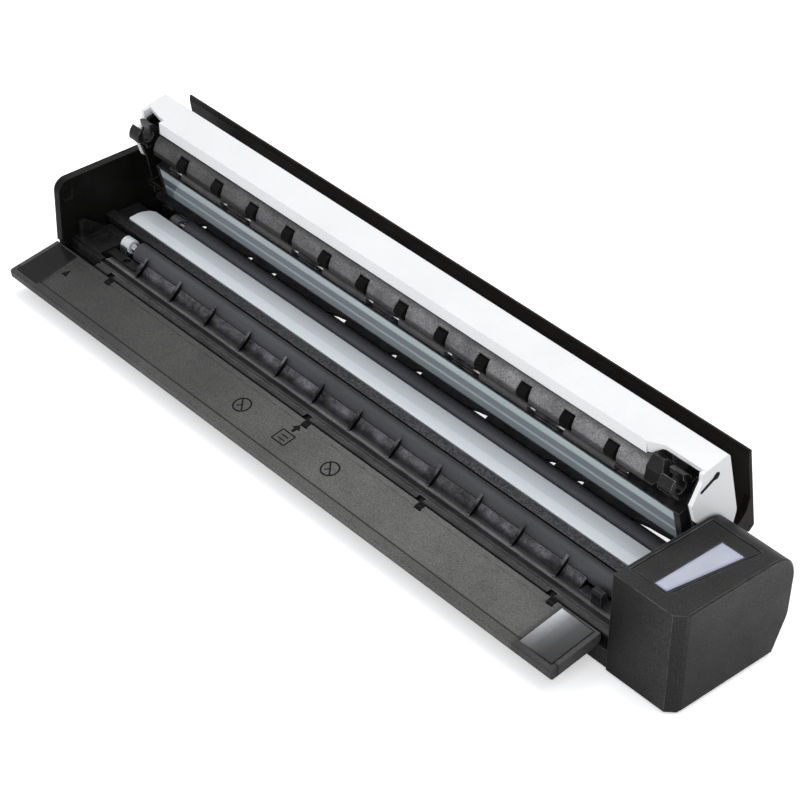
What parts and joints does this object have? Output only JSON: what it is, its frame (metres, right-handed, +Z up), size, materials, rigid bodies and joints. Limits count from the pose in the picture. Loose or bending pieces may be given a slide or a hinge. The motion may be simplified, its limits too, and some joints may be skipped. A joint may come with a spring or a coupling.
{
  "type": "portable document scanner",
  "caption": "Slim sheet-fed portable document scanner, open: top cover raised over the rollers and glass, front feeding flap down, output guide up.",
  "frame": {"origin": "middle of the open scanner's bounding box in X and Y, on the surface that it stands on", "axes": "+X runs along the scanner towards the control box, +Y from the feeding flap to the back, +Z up"},
  "size_m": [0.273, 0.075, 0.051],
  "materials": {
    "case_black": "satin, finely textured",
    "guide_grey": "matte",
    "skin_grey": "matte, light grey",
    "flap_grey": "finely grained",
    "gloss_grey": "glossy",
    "cover_white": "smooth, light",
    "part_white": "smooth",
    "roller_rubber": "matte",
    "foot_rubber": "matte",
    "steel": "brushed",
    "bright_steel": "bright",
    "sensor_glass": "clear, greenish",
    "button_lens": "translucent, pale blue",
    "light_pipe": "clear",
    "circuit_green": "solder mask",
    "gear_cream": "smooth"
  },
  "bodies": {
    "base": {"left_end_wall": "case_black", "control_box": "case_black", "box_floor": "case_black", "bottom_case": "case_black", "hinge_strip": "guide_grey", "entrance_guide": "guide_grey", "scan_bed": "guide_grey", "reference_plate": "part_white", "exit_guide": "guide_grey", "left_side_frame": "guide_grey", "feed_bearing_post": "guide_grey", "eject_bearing_post": "guide_grey", "right_side_frame": "guide_grey", "roller_bushes": "part_white", "cover_hinge_pins": "steel", "flap_hinge_pins": "steel", "gear_plate": "steel", "drive_motor": "steel", "idler_axle": "steel", "circuit_board": "circuit_green", "usb_socket": "bright_steel", "button_board": "circuit_green", "rubber_feet": "foot_rubber", "case_screws": "steel"},
    "feed_roller": {"feed_shaft": "steel", "feed_sleeve": "roller_rubber", "feed_gear": "gear_cream"},
    "eject_roller": {"eject_shaft": "steel", "eject_sleeve": "roller_rubber", "eject_gear": "gear_cream"},
    "idler": {"idler_gear": "gear_cream"},
    "motor_rotor": {"motor_pinion": "bright_steel"},
    "button": {"scan_button": "case_black", "button_window": "button_lens"},
    "flap": {"feeding_flap": "flap_grey", "flap_pad_left": "gloss_grey", "flap_pad_right": "gloss_grey"},
    "guide": {"output_guide": "case_black", "guide_hinge_pins": "steel"},
    "cover": {"top_cover": "cover_white", "upper_guide": "skin_grey", "sensor_frame": "guide_grey", "sensor_glass": "sensor_glass", "sensor_light_bar": "light_pipe", "lens_array": "guide_grey", "sensor_board": "circuit_green", "cover_frame": "guide_grey", "latch_claw_left": "guide_grey", "latch_claw_right": "guide_grey", "roller_brackets": "guide_grey", "guide_end_tab": "guide_grey"},
    "pinch_roller_set": {"pinch_rollers": "roller_rubber", "pinch_shaft": "steel"},
    "idle_tube_set": {"idle_tubes": "gloss_grey", "idle_shaft": "steel"}
  },
  "joints": [
    {"name": "cover_hinge", "type": "hinge", "parent": "base", "child": "cover", "pos_m": [0, 0.01725, 0.02], "axis": [1, 0, 0], "range_deg": [0, 76]},
    {"name": "guide_fold", "type": "hinge", "parent": "base", "child": "guide", "pos_m": [0, 0.02245, 0.0201], "axis": [1, 0, 0], "range_deg": [0, 80.3]},
    {"name": "flap_hinge", "type": "hinge", "parent": "base", "child": "flap", "pos_m": [0, -0.0201, 0.01], "axis": [-1, 0, 0], "range_deg": [0, 99]},
    {"name": "feed_roller_spin", "type": "hinge", "parent": "base", "child": "feed_roller", "pos_m": [0, -0.00455, 0.013], "axis": [1, 0, 0], "continuous": true},
    {"name": "eject_roller_spin", "type": "hinge", "parent": "base", "child": "eject_roller", "pos_m": [0, 0.01465, 0.013], "axis": [1, 0, 0], "continuous": true},
    {"name": "idler_spin", "type": "hinge", "parent": "base", "child": "idler", "pos_m": [0, 0.00505, 0.0158], "axis": [1, 0, 0], "continuous": true},
    {"name": "motor_spin", "type": "hinge", "parent": "base", "child": "motor_rotor", "pos_m": [0, 0.00505, 0.0233], "axis": [1, 0, 0], "continuous": true},
    {"name": "scan_button_press", "type": "slide", "parent": "base", "child": "button", "axis": [0, 0, -1], "range_m": [0, 0.0008], "stiffness_N_per_m": 400, "springref_m": -0.002},
    {"name": "pinch_roller_spin", "type": "hinge", "parent": "cover", "child": "pinch_roller_set", "pos_m": [0, 0.01067, 0.04083], "axis": [1, 0, 0], "continuous": true},
    {"name": "idle_tube_spin", "type": "hinge", "parent": "cover", "child": "idle_tube_set", "pos_m": [0, 0.01086, 0.03675], "axis": [1, 0, 0], "continuous": true}
  ],
  "couplings": [
    {"joint": "guide_fold", "follows": "cover_hinge", "ratio": 1.0566},
    {"joint": "idler_spin", "follows": "feed_roller_spin", "ratio": -1},
    {"joint": "eject_roller_spin", "follows": "feed_roller_spin", "ratio": 1},
    {"joint": "motor_spin", "follows": "feed_roller_spin", "ratio": 2}
  ]
}
